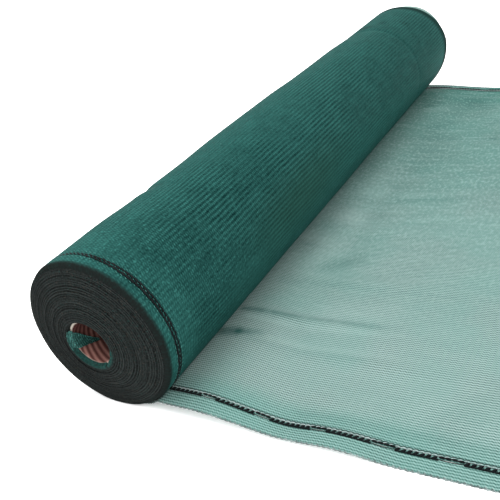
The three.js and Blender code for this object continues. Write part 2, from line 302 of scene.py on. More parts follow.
class Nodes:
    """Short names for the nodes of one material."""

    def __init__(self, name):
        self.material = bpy.data.materials.new(name)
        self.material.use_nodes = True
        self.tree = self.material.node_tree
        self.tree.nodes.clear()

    def node(self, kind, **settings):
        made = self.tree.nodes.new(kind)
        for key, value in settings.items():
            setattr(made, key, value)
        return made

    def feed(self, socket, value):
        if isinstance(value, bpy.types.NodeSocket):
            self.tree.links.new(value, socket)
        elif value is not None:
            socket.default_value = value

    def math(self, operation, a, b=None, c=None, clamp=False):
        made = self.node("ShaderNodeMath", operation=operation, use_clamp=clamp)
        for socket, value in zip(made.inputs, (a, b, c)):
            self.feed(socket, value)
        return made.outputs[0]

    def add(self, a, b):
        return self.math("ADD", a, b)

    def minus(self, a, b):
        return self.math("SUBTRACT", a, b)

    def times(self, a, b):
        return self.math("MULTIPLY", a, b)

    def wave(self, turns):
        """A cosine of a number of turns, from 0 to 1."""
        turned = self.math("COSINE", self.times(turns, 2 * math.pi))
        return self.math("MULTIPLY_ADD", turned, 0.5, 0.5)

    def ramp(self, value, low, high, first=0.0, last=1.0):
        """Value eased from first to last as it goes from low to high."""
        made = self.node("ShaderNodeMapRange", interpolation_type="SMOOTHSTEP")
        for socket, number in zip(made.inputs, (value, low, high, first, last)):
            self.feed(socket, number)
        return made.outputs[0]

    def noise(self, vector, scale, detail=2.0, roughness=0.5):
        made = self.node("ShaderNodeTexNoise")
        self.feed(made.inputs["Vector"], vector)
        self.feed(made.inputs["Scale"], scale)
        self.feed(made.inputs["Detail"], detail)
        self.feed(made.inputs["Roughness"], roughness)
        return made.outputs["Fac"]

    def mix(self, share, a, b):
        made = self.node("ShaderNodeMix", data_type="RGBA")
        self.feed(made.inputs[0], share)
        for socket, value in zip((made.inputs[6], made.inputs[7]), (a, b)):
            self.feed(socket, (*value, 1.0) if isinstance(value, tuple) else value)
        return made.outputs[2]

    def number(self, name):
        return self.node("ShaderNodeAttribute", attribute_name=name).outputs["Fac"]

    def place(self):
        """Place on the piece, in metres."""
        return self.node("ShaderNodeTexCoord").outputs["Object"]

    def split(self, vector):
        made = self.node("ShaderNodeSeparateXYZ")
        self.feed(made.inputs[0], vector)
        return made.outputs

    def join(self, x, y, z):
        made = self.node("ShaderNodeCombineXYZ")
        for socket, value in zip(made.inputs, (x, y, z)):
            self.feed(socket, value)
        return made.outputs[0]

    def bump(self, height, distance, strength):
        made = self.node("ShaderNodeBump")
        self.feed(made.inputs["Strength"], strength)
        self.feed(made.inputs["Distance"], distance)
        self.feed(made.inputs["Height"], height)
        return made.outputs[0]

    def surface(self, color, roughness, shine, normal=None, alpha=None, glow=0.0):
        shader = self.node("ShaderNodeBsdfPrincipled")
        self.feed(shader.inputs["Base Color"], (*color, 1.0) if isinstance(color, tuple) else color)
        self.feed(shader.inputs["Roughness"], roughness)
        self.feed(shader.inputs["Specular IOR Level"], shine)
        self.feed(shader.inputs["Normal"], normal)
        self.feed(shader.inputs["Alpha"], alpha)
        if glow:
            self.feed(shader.inputs["Emission Color"], (1.0, 1.0, 1.0, 1.0))
            self.feed(shader.inputs["Emission Strength"], glow)
        out = self.node("ShaderNodeOutputMaterial")
        self.tree.links.new(shader.outputs[0], out.inputs[0])
        return self.material


def knit(n, lean=1):
    """The netting's pattern: rows of stitches, crossed by threads that lean one way or the other."""
    cloth = n.node("ShaderNodeUVMap", uv_map="Cloth").outputs[0]
    along, across, _ = n.split(cloth)
    # The knit's threads sway a little, and its stitches drift
    sway = n.times(n.minus(n.noise(cloth, 6.0, 1.0), 0.5), 0.005)
    drift = n.times(n.minus(n.noise(cloth, 60.0), 0.5), 0.25)
    repeats = n.add(n.times(n.add(along, sway), REPEATS_IN_METRE), drift)
    chains = n.add(n.times(n.minus(across, sway), CHAINS_IN_METRE), drift)
    leaning = n.add(n.times(repeats, float(lean)), chains)
    return dict(
        cloth=cloth,
        row=n.wave(chains),
        slant=n.wave(leaning),
        rib=n.wave(repeats),
        cross=n.wave(n.add(n.times(repeats, 2.0 * lean), chains)),
    )


# Lit and shaded colours of the roll's surface: threads and rib crests painted lit, holes and grooves
# painted shade
WOUND_LIT = (0.0185, 0.084, 0.074)
WOUND_SHADED = (0.0006, 0.0095, 0.009)
RIM_DARK = (0.0055, 0.0075, 0.007)
LIP_PALE = (0.15, 0.215, 0.197)
WOUND_BROWNED = (0.0095, 0.034, 0.025)
FAR_RIM_STITCH_AND_SHADE = (0.0025, 0.0155, 0.0132)


def wound_material():
    """The roll's outer turn: ribs and stitches, patchy and streaked, with dark rims and a pale lip."""
    n = Nodes("wound_net")
    k = knit(n, -1)
    patches = n.noise(k["cloth"], 9.0)
    mottle = n.noise(k["cloth"], 30.0, 3.0, 0.6)
    thread = n.noise(k["cloth"], 300.0, 2.0, 0.6)
    around, across, _ = n.split(k["cloth"])
    clear = n.times(n.ramp(patches, 0.36, 0.62, 0.05, 0.28), n.ramp(across, 0.45, 0.82, 1.0, 0.7))
    clear = n.times(clear, n.ramp(across, 0.02, 0.22, 0.5, 1.0))
    # The ribs are painted as pale lines with dark grooves between them, painted light and shade of their
    # relief
    rib = n.times(n.minus(n.ramp(k["rib"], 0.15, 1.0), 0.4), clear)
    knots = n.times(k["slant"], k["row"])
    slant = n.times(n.minus(knots, 0.25), n.ramp(mottle, 0.35, 0.65, 0.2, 0.5))
    tone = n.add(n.add(rib, slant), n.times(n.minus(mottle, 0.5), 0.28))
    tone = n.add(tone, n.times(n.minus(thread, 0.5), 0.7))
    # Streaks run along the roll, and painted glints show as pale specks, most near its near end
    streak = n.noise(n.join(around, n.times(across, 0.16), 0.0), 150.0, 2.0, 0.6)
    tone = n.add(tone, n.times(n.minus(streak, 0.5), n.ramp(across, 0.45, 0.82, 0.42, 0.36)))
    glint_speck = n.ramp(n.noise(n.join(around, n.times(across, 0.6), 0.0), 330.0, 1.0), 0.6, 0.74)
    tone = n.add(tone, n.times(glint_speck, n.ramp(across, 0.04, 0.3, 0.5, 0.15)))
    # The tone numbers carry painted light and shade by angle and at creases, besides the paler selvedges
    tone = n.add(tone, n.number("tone"))
    color = n.mix(n.math("ADD", tone, 0.45, clamp=True), WOUND_SHADED, WOUND_LIT)
    color = n.mix(n.number("cast"), color, WOUND_BROWNED)
    fuzz = n.noise(k["cloth"], 420.0)
    rim = n.math("ADD", n.number("rim"), n.times(n.minus(fuzz, 0.5), 0.5), clamp=True)
    color = n.mix(n.times(rim, n.ramp(n.number("rim"), 0.0, 0.15)), color, RIM_DARK)
    # The far rim is painted darker: partly its dark stitching, partly painted shadow under the lip
    color = n.mix(n.number("far_rim"), color, FAR_RIM_STITCH_AND_SHADE)
    color = n.mix(n.number("lip"), color, LIP_PALE)
    height = n.add(n.times(knots, 0.7), n.times(thread, 0.5))
    normal = n.bump(height, 0.0006, 0.6)
    return n.surface(color, 0.72, 0.015, normal)


# Dark and light of the turns' edges, and of the fold over the core's cut end
EDGES = ((0.0008, 0.001, 0.001), (0.0195, 0.0245, 0.0235))
FOLD_COLORS = ((0.001, 0.010, 0.009), (0.019, 0.078, 0.067))
EDGES_BROWN = (0.031, 0.025, 0.02)
EDGES_GREEN = (0.008, 0.036, 0.031)
EDGES_WORN = (0.006, 0.008, 0.0077)
BLACK_SHADE = (0.0, 0.0, 0.0)


def end_material():
    """The turns' edges at an end: rings, flecks of brown and green, and painted shade away from the loose
    end.
    """
    n = Nodes("wound_net_ends")
    place = n.place()
    x, _, z = n.split(place)
    up = n.minus(z, AXIS_HEIGHT * MM)
    radius = n.math("SQRT", n.add(n.times(x, x), n.times(up, up)))
    angle = n.math("ARCTAN2", up, x)
    bundles = n.times(n.minus(radius, HOLE_RADIUS * MM), 1000 / TURN_BUNDLE)
    turn = n.minus(bundles, n.times(angle, 0.5 / math.pi))
    ring = n.wave(turn)
    fine_ring = n.wave(n.times(turn, 2.0))
    spot = n.noise(place, 560.0, 2.0, 0.6)
    broad = n.noise(place, 60.0)
    uneven = n.add(n.times(radius, 420.0), n.times(n.noise(place, 30.0, 1.0), 1.2))
    bands = n.noise(n.join(uneven, 0.0, 0.0), 1.0, 2.0, 0.7)
    tone = n.add(n.times(n.minus(1.0, ring), 0.2), n.times(fine_ring, 0.1))
    tone = n.add(n.add(tone, n.times(spot, 0.75)), n.times(n.minus(bands, 0.5), 0.95))
    color = n.mix(n.ramp(tone, 0.26, 0.88), *EDGES)
    fleck = n.ramp(n.noise(place, 430.0, 1.0), 0.6, 0.74)
    color = n.mix(n.times(fleck, 0.55), color, EDGES_BROWN)
    green = n.ramp(n.noise(n.join(x, up, 3.0), 480.0, 1.0), 0.6, 0.72)
    color = n.mix(n.times(green, 0.4), color, EDGES_GREEN)
    color = n.mix(n.ramp(broad, 0.35, 0.7, 0.0, 0.3), color, EDGES_WORN)
    soft = n.times(n.number("fold"), n.ramp(n.noise(place, 700.0), 0.3, 0.7, 0.45, 1.0))
    color = n.mix(soft, color, n.mix(n.noise(place, 300.0), *FOLD_COLORS))
    # Painted shade on the side of the end away from the loose end
    outer = n.ramp(n.minus(n.times(up, -0.5), x), -0.01, 0.035, 0.0, 0.3)
    color = n.mix(outer, color, BLACK_SHADE)
    normal = n.bump(tone, 0.001, 0.9)
    return n.surface(color, 0.8, 0.03, normal)


# Dark and light of one layer's threads: plain, in the bands along its edges, and where it looks dense
SHEER_THREAD = ((0.0265, 0.057, 0.051), (0.196, 0.298, 0.279))
BAND_THREAD = ((0.015, 0.057, 0.048), (0.080, 0.232, 0.200))
DENSE_THREAD = ((0.009, 0.042, 0.035), (0.032, 0.130, 0.109))
SHEER_PATCH = (0.05, 0.165, 0.142)
# Painted shade, and painted light, on the loose end's creases and beside the roll
SHEER_SHADED = (0.010, 0.052, 0.046)
SHEER_PAINTED_LIGHT = (0.20, 0.33, 0.305)
SLACK_DARK = (0.030, 0.098, 0.087)
TIGHT_PALE = (0.225, 0.335, 0.315)


def sheer_material(name):
    """One sheer layer of netting, through whose gaps the floor shows."""
    n = Nodes(name)
    k = knit(n)
    patches = n.noise(k["cloth"], 11.0)
    band = n.number("band")
    deep = n.number("deep")
    shade = n.number("shade")
    weave = n.add(n.times(k["row"], 0.50), n.times(k["slant"], 0.22))
    weave = n.add(weave, n.times(k["cross"], 0.28))
    pale = n.ramp(weave, 0.18, 0.84)
    thread = n.mix(pale, *SHEER_THREAD)
    thread = n.mix(n.times(band, 0.45), thread, n.mix(pale, *BAND_THREAD))
    thread = n.mix(deep, thread, n.mix(pale, *DENSE_THREAD))
    thread = n.mix(n.ramp(patches, 0.3, 0.7, 0.0, 0.25), thread, SHEER_PATCH)
    # The shade numbers paint shade on creases and beside the roll, and light where they are negative
    thread = n.mix(n.math("MULTIPLY", shade, 0.85, clamp=True), thread, SHEER_SHADED)
    thread = n.mix(n.math("MULTIPLY", shade, -0.6, clamp=True), thread, SHEER_PAINTED_LIGHT)
    # Some threads are slack and some are tight, which shows as a fine mottle and as faint waves
    along, across, _ = n.split(k["cloth"])
    slack = n.noise(n.join(along, n.times(across, 0.6), 0.0), 230.0, 1.0, 0.6)
    uneven = n.ramp(across, 0.12, 0.6, 0.05, 0.24)
    waves = n.noise(n.join(n.times(along, 0.15), across, 0.0), 75.0, 2.0, 0.6)
    for grain, dark_share, pale_share in ((waves, 0.7, 0.5), (slack, 1.15, 1.0)):
        darker = n.times(n.ramp(grain, 0.48, 0.72), n.times(uneven, dark_share))
        thread = n.mix(darker, thread, SLACK_DARK)
        paler = n.times(n.ramp(grain, 0.52, 0.28), n.times(uneven, pale_share))
        thread = n.mix(paler, thread, TIGHT_PALE)
    closer = n.times(n.add(n.times(band, 0.3), n.times(deep, 0.5)), 0.25)
    cover = n.add(n.ramp(pale, 0.0, 1.0, 0.97, 0.72), closer)
    cover = n.math("ADD", cover, n.times(shade, 0.15), clamp=True)
    normal = n.bump(pale, 0.0006, 0.5)
    return n.surface(thread, 0.65, 0.08, normal, cover)


def thread_material(name, dark, light, shine=0.12):
    """Thread of the stitching and the edge loops, a little uneven in colour."""
    n = Nodes(name)
    place = n.place()
    fine = n.noise(place, 900.0)
    broad = n.noise(place, 60.0, 1.0)
    color = n.mix(n.ramp(n.add(n.times(fine, 0.6), n.times(broad, 0.4)), 0.35, 0.65), dark, light)
    return n.surface(color, 0.6, shine, n.bump(fine, 0.0002, 0.5))


# Dark and light of the core's ridges, painted light on them and painted shade between them, and of its cut
# end; the board's grain; and the painted shade in the bore
BOARD = ((0.045, 0.013, 0.011), (0.235, 0.115, 0.095))
BOARD_CUT = ((0.30, 0.265, 0.22), (0.50, 0.465, 0.405))
BOARD_GRAIN = (0.10, 0.048, 0.04)
BORE_SHADE = (0.024, 0.0055, 0.005)


def core_material():
    """Brown cardboard with pale cut ends, darker towards the top of the bore."""
    n = Nodes("core_board")
    x, y, z = n.split(n.place())
    ridge = n.number("ridge")
    deep = n.ramp(z, 0.070, 0.105, 0.0, 0.82)
    grain = n.noise(n.join(x, n.times(y, 3.0), z), 220.0, 3.0, 0.6)
    # The ridges are painted paler and the grooves between them darker, as painted light and shade
    color = n.mix(ridge, *BOARD)
    color = n.mix(n.times(grain, 0.3), color, BOARD_GRAIN)
    color = n.mix(deep, color, BORE_SHADE)
    color = n.mix(n.number("cut"), color, n.mix(grain, *BOARD_CUT))
    return n.surface(color, 0.85, 0.1, n.bump(grain, 0.0004, 0.5))


# The roll

ROUND_STEPS = 520
RIB_RELIEF = 0.13
RIB_TURNS = round(2 * np.pi * ROLL_RADIUS / REPEAT)
RIM_ROUNDING = 5
# Width of one bundle of turns, as drawn at the ends
TURN_BUNDLE = 2.6
# Slow unevenness of the winding: waves round the roll, sways along it, and height
SWELLS = ((3, 1.3, 0.35), (7, 2.1, 0.22), (13, 3.7, 0.14))
# The thin lip at the far end: the angle of its middle, and its half sweep
LIP_MIDDLE = 62
LIP_HALF_SWEEP = 56
# How far the outer turns reach past the far end, and on which side most
FAR_REACH = 20
FAR_REACH_SIDE = 14
FAR_REACH_HALF_SWEEP = 72
# Ribs with painted shade in their grooves: angle, distance from the near end, half sizes in degrees and
# along the roll, and depth of tone
RIB_GROOVE_SHADE = (
    (100, 857, 13, 20, 0.9),
    (82, 880, 10, 14, 0.6),
    (60, 905, 9, 14, 0.4),
)
# Angles between which the first turn is folded over the core's cut end, and where the fold is notched
FOLD_START = -166
FOLD_END = -4
FOLD_NOTCH = -59


def finish_piece(piece, material):
    piece.data.materials.append(material)
    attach(piece, "root")


def tube_map(piece, name, rows, columns, u, v):
    """UV map of a tube's grid, given u and v with one more column than the mesh, so that it has a seam."""
    i, j = np.meshgrid(np.arange(rows - 1), np.arange(columns), indexing="ij")
    order = ((i, j + 1), (i + 1, j + 1), (i + 1, j), (i, j))
    values = np.stack([np.stack((u[a, b], v[a, b]), axis=-1) for a, b in order], axis=2)
    layer = piece.data.uv_layers.new(name=name)
    layer.uv.foreach_set("vector", values.astype(np.float32).ravel())


def along_stations():
    """Distances from the near end at which the roll's surface is drawn, closer at its rims and creases."""
    steps = [0.0, 0.35, 0.9, 1.7, 2.8, 3.9, 5.2, 7.0, 9.5, 12.0, 15.0, 18.0, 21.0, 24.0, 28.0, 33.0]
    steps += list(np.arange(39, 160, 7.5))
    steps += list(np.arange(160, 206, 2.3))
    steps += list(np.arange(212, 812, 8.5))
    steps += list(np.arange(812, 850, 3.2))
    steps += list(np.arange(856, 984, 8.0))
    steps += [988, 991, 993, 995, 997, 998.5, 999.5, 1000.6, 1002.0, 1003.5]
    return np.array(sorted(steps))


def rim_loss(from_end):
    """How much the rounded rim takes off the radius at a distance from the end."""
    short = np.clip(RIM_ROUNDING - from_end, 0, RIM_ROUNDING)
    return RIM_ROUNDING - np.sqrt(RIM_ROUNDING ** 2 - short ** 2)


def wound_tone_and_painted_light(from_end, turn):
    """Paler, or darker if negative, by distance from the near end and angle; much is painted light and
    shade.
    """
    # Both selvedges are paler, a ring lies near the far end, and the stitched line in a dark channel
    lower = 0.4 + 0.6 * hump(turn, 70)
    tone = 0.15 * (1 - smooth(from_end, 44, 64)) * lower
    tone = tone + 0.07 * smooth(from_end, 950, 980)
    tone = tone + 0.1 * hump(from_end - 828, 3.5)
    tone = tone - 0.08 * hump(from_end - 836, 5)
    tone = tone - 0.3 * hump(from_end - 19, 6.5) * smooth(turn, 110, 50)
    # Painted light and shade by angle, in long bands along the roll:
    # the top and the lower side are painted paler, the upper side darker
    near_half = 1 - smooth(from_end, 250, 400)
    tone = tone - 0.09 * hump(turn - 42, 42) - 0.06 * near_half * smooth(turn, 82, 60)
    past_line = smooth(from_end, 60, 200)
    tone = tone + 0.06 * smooth(turn, 70, 95) + 0.17 * smooth(turn, 12, -14) * past_line
    tone = tone + 0.17 * hump(turn + 14, 26) * smooth(from_end, 880, 965)
    # Painted shade in the crease by the near end, with a painted highlight on the ring beside it
    crease = hump(turn - 128, 50)
    tone = tone - 0.28 * hump(from_end - 184, 8) * crease
    tone = tone + 0.18 * hump(from_end - 197, 9) * crease
    # Painted shade in the grooves of some ribs shows as short dark marks
    hatch = np.clip(-np.cos(np.radians(turn) * RIB_TURNS) * 2 - 0.6, 0, 1)
    for side, middle, half_sweep, half_span, depth in RIB_GROOVE_SHADE:
        area = hump(turn - side, half_sweep) * hump(from_end - middle, half_span)
        tone = tone - depth * area * hatch
    return tone


def wound_skin():
    """The roll's outer turn, from its near rim to the lip at its far end."""
    from_end = along_stations()[:, None]
    rows = len(from_end)
    degrees = (-90 + np.arange(ROUND_STEPS + 1) * 360 / ROUND_STEPS)[None, :]
    along = from_end / NET_WIDTH
    radius = wound_radius(np.clip(along, 0, 1), degrees)
    for waves, sways, height in SWELLS:
        shift = rng.uniform(0, 6.28, 2)
        turn = np.radians(degrees) * waves + shift[0]
        radius = radius + height * np.sin(turn + 2.2 * np.sin(along * sways * 3.1 + shift[1]))
    phase = np.radians(degrees) * RIB_TURNS
    # The ribs fade in past the stitched line, and out again towards the far end
    fade = smooth(from_end, 22, 60) * 0.45 + 0.25 - 0.4 * smooth(from_end, 450, 800)
    radius = radius + RIB_RELIEF * np.cos(phase) * fade
    # The rims are rounded, and over a part of the far one stands a thin lip of the outer turn
    radius = radius - rim_loss(from_end)
    lip = np.clip((from_end - 998.5) / 5, 0, 1)
    raised = hump(degrees - LIP_MIDDLE, LIP_HALF_SWEEP)
    past = from_end - 999
    drawn = np.where(past > 0, 999 + past * (0.15 + 3.0 * raised), from_end)
    far_reach = FAR_REACH * hump(degrees - FAR_REACH_SIDE, FAR_REACH_HALF_SWEEP)
    drawn = drawn + far_reach * smooth(from_end, 900, 1000)
    radius = radius - 2.0 * lip * (1 - raised) - 0.6 * lip
    lift = eased(along, GIRTH_ALONG, GIRTH_GROW)
    points = roll_point(radius, degrees, NEAR_END + drawn, lift)
    faces = grid_faces(rows, ROUND_STEPS, wrap_columns=True)
    piece = new_object("wound_skin", points[:, :-1].reshape(-1, 3), faces[:, ::-1].tolist())
    girth = 2 * np.pi * ROLL_RADIUS * MM
    u = np.broadcast_to(np.radians(degrees + 90) * ROLL_RADIUS * MM, points.shape[:2])
    v = np.broadcast_to(from_end * MM, points.shape[:2])
    tube_map(piece, "Cloth", rows, ROUND_STEPS, u, v)
    tube_map(piece, "OFBake", rows, ROUND_STEPS, u / girth, v / (from_end[-1, 0] * MM))
    round_one = np.ones((1, ROUND_STEPS))
    near_rim = 1 - smooth(from_end, 2.0, 8.5)
    # The far rim's dark ring is partly the selvedge's dark stitching and partly painted shadow under the
    # lip
    far_rim = smooth(from_end, 975, 984) * (1 - smooth(from_end, 996.5, 1000.4))
    add_number(piece, "rim", near_rim * round_one)
    add_number(piece, "far_rim", far_rim * round_one)
    add_number(piece, "lip", smooth(from_end, 998.3, 1001.2) * round_one)
    turn = degrees[:, :-1]
    add_number(piece, "tone", wound_tone_and_painted_light(from_end, turn))
    add_number(piece, "cast", 0.55 * hump(turn - 2, 38) * hump(from_end - 330, 200))
    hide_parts("wound_netting")
    finish_piece(piece, wound_material())


END_STEPS = 320
END_RINGS = 120
# How much the bundles step in and out, and how many steps each turn has
BUNDLE_STEP = 0.36
STEPS_IN_TURN = 3.0
STEP_COUNT = 256
# Distance of the spiral's edge from the roll's surface, at the near and the far end
NEAR_INSET = RIM_ROUNDING - 0.15
FAR_INSET = 0.6


def end_turns(name, side):
    """The edges of the turns at one end, as a spiral of rounded bundles that step in and out a little."""
    share = np.linspace(1, 0, END_RINGS)[:, None]
    degrees = -90 + np.arange(END_STEPS)[None, :] * 360 / END_STEPS
    along = 0 if side < 0 else 1
    inset = NEAR_INSET if side < 0 else FAR_INSET
    outside = wound_radius(np.array(float(along)), degrees) - inset
    radius = HOLE_RADIUS + (outside - HOLE_RADIUS) * share
    turn = (radius - HOLE_RADIUS) / TURN_BUNDLE - degrees / 360
    layer = np.floor(turn)
    part = turn - layer
    wound = layer + degrees / 360
    steps = rng.normal(0, BUNDLE_STEP, STEP_COUNT)
    # The number added keeps the places positive
    place = wound * STEPS_IN_TURN + 60
    index = np.floor(place).astype(int)
    ease = smooth(place - index, 0, 1)
    level = steps[index] * (1 - ease) + steps[index + 1] * ease
    ridge = 0.42 * np.sin(np.pi * part)
    shiver = 0.14 * np.sin(wound * 151.0) + 0.1 * np.sin(wound * 67.0 + 2)
    fade = np.clip((1 - share) * 12, 0, 1) * np.clip(share * 20, 0.3, 1)
    drift = END_DRIFT * (1 - share ** DRIFT_CURVE)
    rough = (level + ridge + shiver) * fade
    y = side * (NET_WIDTH / 2 - 0.1) - drift + side * rough
    lift = share * eased(along, GIRTH_ALONG, GIRTH_GROW)
    points = roll_point(radius, degrees, y, lift)
    fold = np.zeros(points.shape[:2])
    if side < 0:
        more, more_fold = inner_turn(degrees, y[-1])
        points = np.concatenate([points, more])
        fold = np.concatenate([fold, more_fold])
        near_hole = np.clip(1 - (radius - HOLE_RADIUS) / 3.4, 0, 1) * folded(degrees)
        fold[:END_RINGS] = near_hole
    faces = grid_faces(len(points), END_STEPS, wrap_columns=True)
    if side > 0:
        faces = faces[:, ::-1]
    piece = new_object(name, points.reshape(-1, 3), faces.tolist())
    add_number(piece, "fold", fold)
    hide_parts("wound_netting")
    finish_piece(piece, end_material())


def folded(degrees):
    """How far the first turn is folded over the core's cut end at an angle, from 0 to 1."""
    angle = (degrees + 180) % 360 - 180
    share = smooth(angle, FOLD_START - 7, FOLD_START + 7) * (1 - smooth(angle, FOLD_END - 9, FOLD_END + 9))
    notch = 0.75 * hump(angle - FOLD_NOTCH, 6)
    return share * (1 - notch)


# Radius and depth of the rows of the hole's wall, and of the same rows where they fold over the core
HOLE_WALL = (
    (28.45, 0.6),
    (28.42, 2.0),
    (28.4, 4.0),
    (28.4, 7.0),
    (28.4, 9.0),
    (28.4, 11.0),
    (28.4, 13.0),
)
FOLD_OVER = (
    (28.2, -0.6),
    (27.7, -0.5),
    (27.0, 0.5),
    (26.4, 1.9),
    (25.8, 3.1),
    (25.45, 4.0),
    (25.25, 4.45),
)
# The fold stays this far in front of the core's cut end
FOLD_CLEARANCE = 0.35


def inner_turn(degrees, edge_y):
    """The wall of the hole, which over a part of the circle folds over the core's cut end instead."""
    share = folded(degrees)
    lumps = 0.3 * np.sin(np.radians(degrees) * 41) + 0.25 * np.sin(np.radians(degrees) * 23 + 1)
    rows = []
    for k, ((wall_r, wall_y), (over_r, over_y)) in enumerate(zip(HOLE_WALL, FOLD_OVER)):
        swell = lumps * share * math.sin(math.pi * (k + 1) / 8) * 0.7
        radius = wall_r * (1 - share) + over_r * share - swell * 0.5
        y = edge_y[None, :] + wall_y * (1 - share) + over_y * share - swell
        over_core = (radius < 28.3) & (share > 0.05)
        y = np.where(over_core, np.minimum(y, CORE_START - FOLD_CLEARANCE), y)
        rows.append(roll_point(radius, degrees, y)[0])
    fold = np.repeat(share, len(rows), axis=0)
    return np.stack(rows), fold


wound_skin()
end_turns("near_end_turns", -1)
end_turns("far_end_turns", 1)


# The core, a wound cardboard tube with slanting ridges inside

CORE_LENGTH = 1000
CORE_STEPS = 144
RIDGE_PITCH = 7.1
# How far along the core a ridge gets in one turn
RIDGE_LEAD = 79
RIDGE_HEIGHT = 0.7
# Where the ridges start at the cut end
RIDGE_SHIFT = 4.9


def core_tube():
    """The core, drawn finely where its bore shows and coarsely farther in."""
    lengths = np.concatenate([np.arange(0, 130, 0.95), np.arange(130, CORE_LENGTH + 1, 6.5)])
    lengths[-1] = CORE_LENGTH
    degrees = np.arange(CORE_STEPS)[None, :] * 360 / CORE_STEPS
    depth = lengths[:, None]
    starts = round(RIDGE_LEAD / RIDGE_PITCH)
    phase = (depth + RIDGE_SHIFT) / RIDGE_PITCH + degrees / 360 * starts
    rib = 0.5 + 0.5 * np.cos(2 * np.pi * phase)
    near_fade = np.clip(depth / 2, 0, 1)
    far_fade = np.clip((CORE_LENGTH - depth) / 2, 0, 1)
    inside = CORE_BORE_RADIUS + 0.1 - RIDGE_HEIGHT * rib * near_fade * far_fade
    angle = np.radians(degrees)
    sections = []
    ridges = []
    cuts = []

    def ring(radius, y, ridge, cut):
        radius = np.broadcast_to(radius, degrees.shape)
        x = radius * np.cos(angle)
        z = AXIS_HEIGHT + radius * np.sin(angle)
        sections.append(np.stack(np.broadcast_arrays(x, y, z), axis=-1)[0])
        ridges.append(np.broadcast_to(ridge, degrees.shape)[0])
        cuts.append(np.full(CORE_STEPS, cut))

    for i, length in enumerate(lengths):
        cut = 0.3 if i == 0 or i == len(lengths) - 1 else 0.0
        ring(inside[i], CORE_START + length, rib[i], cut)
    outer = CORE_BORE_RADIUS + CORE_WALL
    mid_wall = CORE_BORE_RADIUS + CORE_WALL / 2
    for radius in (mid_wall, outer - 0.3):
        ring(radius, CORE_START + CORE_LENGTH, 0.5, 1.0)
    for length in (CORE_LENGTH - 0.3, CORE_LENGTH - 10, 10, 0.3):
        ring(outer, CORE_START + length, 0.5, 0.6)
    for radius in (outer - 0.3, mid_wall):
        ring(radius, CORE_START, 0.5, 1.0)
    faces = grid_faces(len(sections), CORE_STEPS, wrap_rows=True, wrap_columns=True)
    piece = new_object("core", np.concatenate(sections), faces.tolist())
    add_number(piece, "ridge", np.concatenate(ridges))
    add_number(piece, "cut", np.concatenate(cuts))
    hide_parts("core_tube")
    finish_piece(piece, core_material())


core_tube()


# The tongue of netting tucked into the bore

# Rows of the tongue: radius, depth from the core's cut end, and the angles of its two sides
TONGUE = (
    (28.1, -5.6, 151, 203),
    (27.7, -5.0, 150, 204),
    (27.2, -3.4, 149, 204),
    (26.6, -2.0, 149, 204),
    (25.6, -1.15, 150, 204),
    (24.6, -0.5, 153, 205),
    (24.3, 1.0, 158, 206),
    (24.2, 6.0, 168, 210),
    (24.1, 12.0, 184, 215),
    (24.0, 19.0, 205, 222),
    (24.0, 25.0, 220, 227),
)
TONGUE_ROWS = 80
TONGUE_COLUMNS = 46
TONGUE_RADIUS = 25
TONGUE_DARK = (0.004, 0.026, 0.023)
TONGUE_LIGHT = (0.022, 0.105, 0.09)
TONGUE_FLECK = (0.07, 0.23, 0.20)


def tongue_material():
    n = Nodes("tongue_net")
    k = knit(n)
    thread = n.times(k["row"], k["slant"])
    spot = n.noise(n.place(), 700.0)
    color = n.mix(thread, TONGUE_DARK, TONGUE_LIGHT)
    color = n.mix(n.ramp(spot, 0.55, 0.72, 0.0, 0.8), color, TONGUE_FLECK)
    return n.surface(color, 0.6, 0.15, n.bump(n.add(thread, spot), 0.0008, 0.8))


def tongue():
    """The tongue, pleated and curled at its sides where it lies in the bore."""
    rows = np.array(TONGUE)
    places = np.arange(len(rows))
    fine = np.linspace(0, len(rows) - 1, TONGUE_ROWS)
    table = np.stack([np.interp(fine, places, rows[:, k]) for k in range(4)], axis=1)
    share = np.linspace(0, 1, TONGUE_COLUMNS)[None, :]
    degrees = table[:, 2:3] + (table[:, 3:4] - table[:, 2:3]) * share
    inside = np.clip((fine[:, None] - 5) / 2, 0, 1)
    pleat = 0.55 * np.abs(np.sin(share * 8.0 + fine[:, None] * 0.5)) * inside
    curl = 0.9 * (smooth(share, 0.12, 0.0) + smooth(share, 0.88, 1.0)) * inside
    bulge = 0.5 * np.sin(np.pi * share) * (1 - inside)
    radius = table[:, 0:1] - pleat - curl
    y = CORE_START + table[:, 1:2] - bulge
    angle = np.radians(degrees)
    x = radius * np.cos(angle)
    z = AXIS_HEIGHT + radius * np.sin(angle)
    points = np.stack(np.broadcast_arrays(x, y, z), axis=-1)
    faces = grid_faces(len(fine), share.size)
    piece = new_object("tongue", points.reshape(-1, 3), faces.tolist())
    # The cloth map's second number is the length run along a line near the tongue's middle
    strides = np.linalg.norm(np.diff(points[:, 20], axis=0), axis=1)
    run = np.concatenate([[0], np.cumsum(strides)])
    u = np.broadcast_to(run[:, None] * MM, points.shape[:2])
    v = np.radians(degrees) * TONGUE_RADIUS * MM
    add_map(piece, "Cloth", np.stack([v, u], axis=-1).reshape(-1, 2))
    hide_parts("tucked_tongue")
    finish_piece(piece, tongue_material())


tongue()


# The loose end

